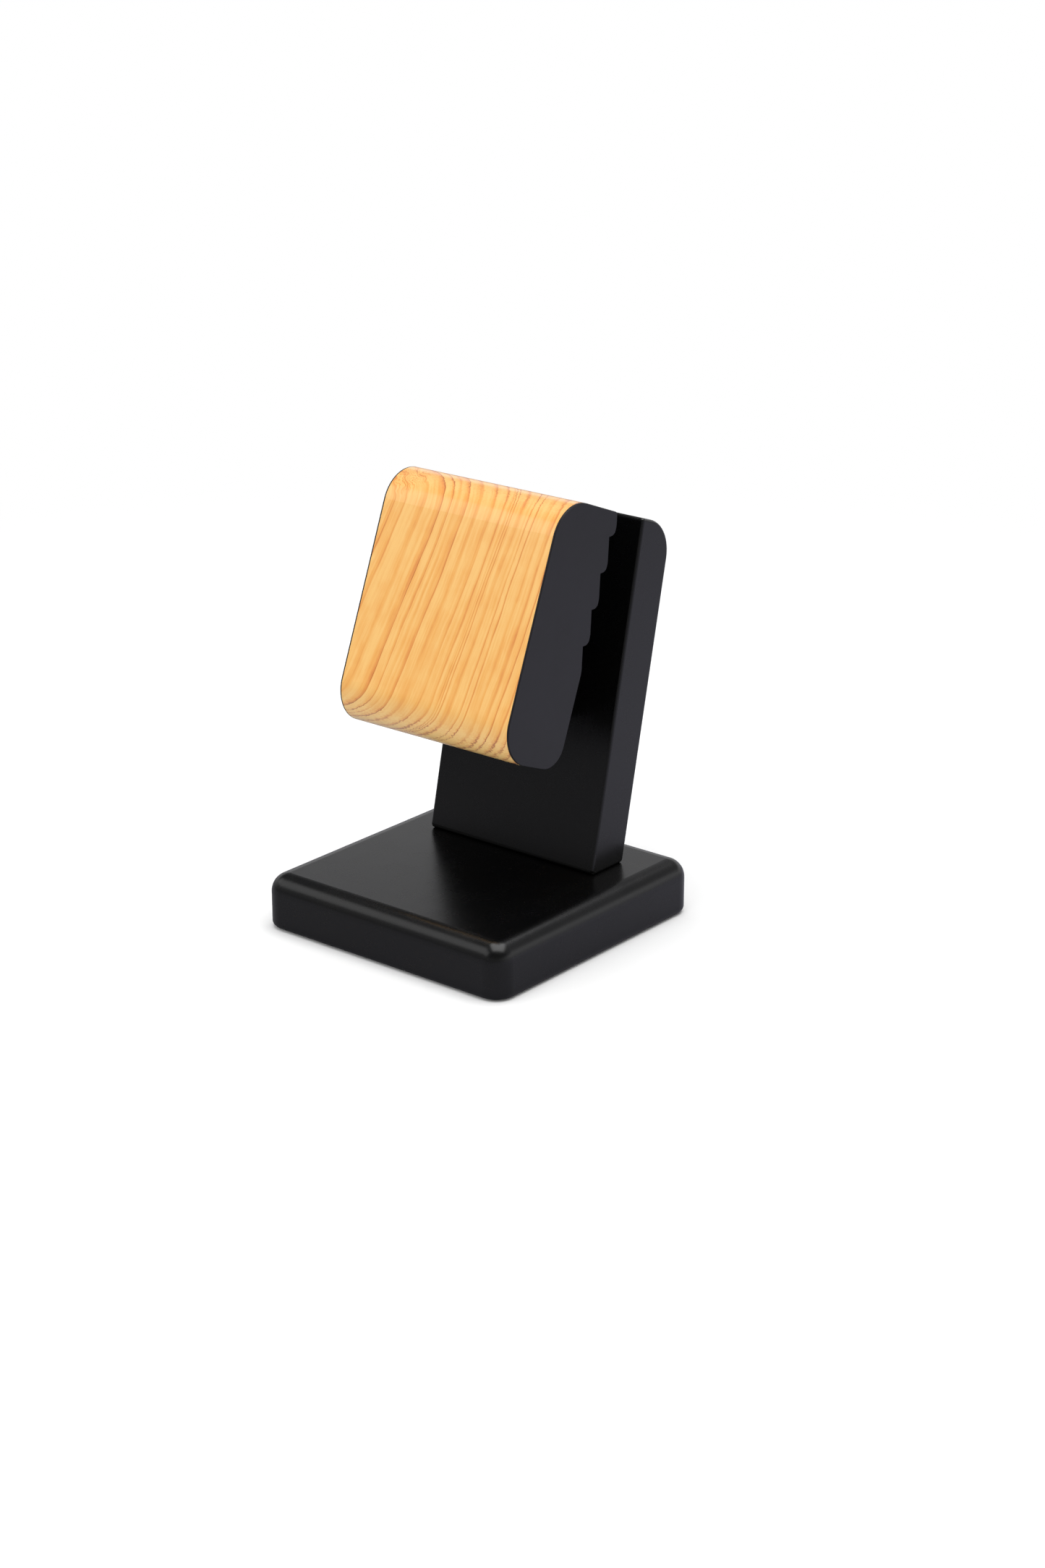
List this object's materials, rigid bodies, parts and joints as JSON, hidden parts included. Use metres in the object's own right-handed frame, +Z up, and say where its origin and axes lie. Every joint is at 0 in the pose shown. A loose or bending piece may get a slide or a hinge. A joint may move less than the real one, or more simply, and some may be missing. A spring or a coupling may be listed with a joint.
{
  "type": "watch stand",
  "caption": "Wooden desk stand: a square black base and leaning post hold a tilted, wood-faced pad with an open strap gap and stepped ledges behind it.",
  "frame": {"origin": "centre of the square base's footprint, on the surface that it stands on", "axes": "+X along the base's front edge, +Y towards the back where the post leans, +Z up"},
  "size_m": [0.08, 0.0833, 0.1163],
  "materials": {
    "black_lacquer": "satin black lacquer over close-grained wood",
    "plug_lacquer": "satin black lacquer on end grain",
    "black_laminate": "satin",
    "clear_softwood": "clear satin coat over straight-grained softwood",
    "felt": "pressed felt",
    "dowel_wood": "bare hardwood",
    "screw_steel": "zinc plated"
  },
  "bodies": {
    "root": {"base_block": "black_lacquer", "base_felt": "felt", "post": "black_lacquer", "arm": "black_lacquer", "pad_core": "black_lacquer", "pad_face": "clear_softwood", "pad_cheek_right": "black_laminate", "pad_cheek_left": "black_laminate", "foot_dowels": "dowel_wood", "foot_screws": "screw_steel", "arm_screws": "screw_steel", "screw_plugs": "plug_lacquer", "face_dowels": "dowel_wood"}
  },
  "joints": []
}
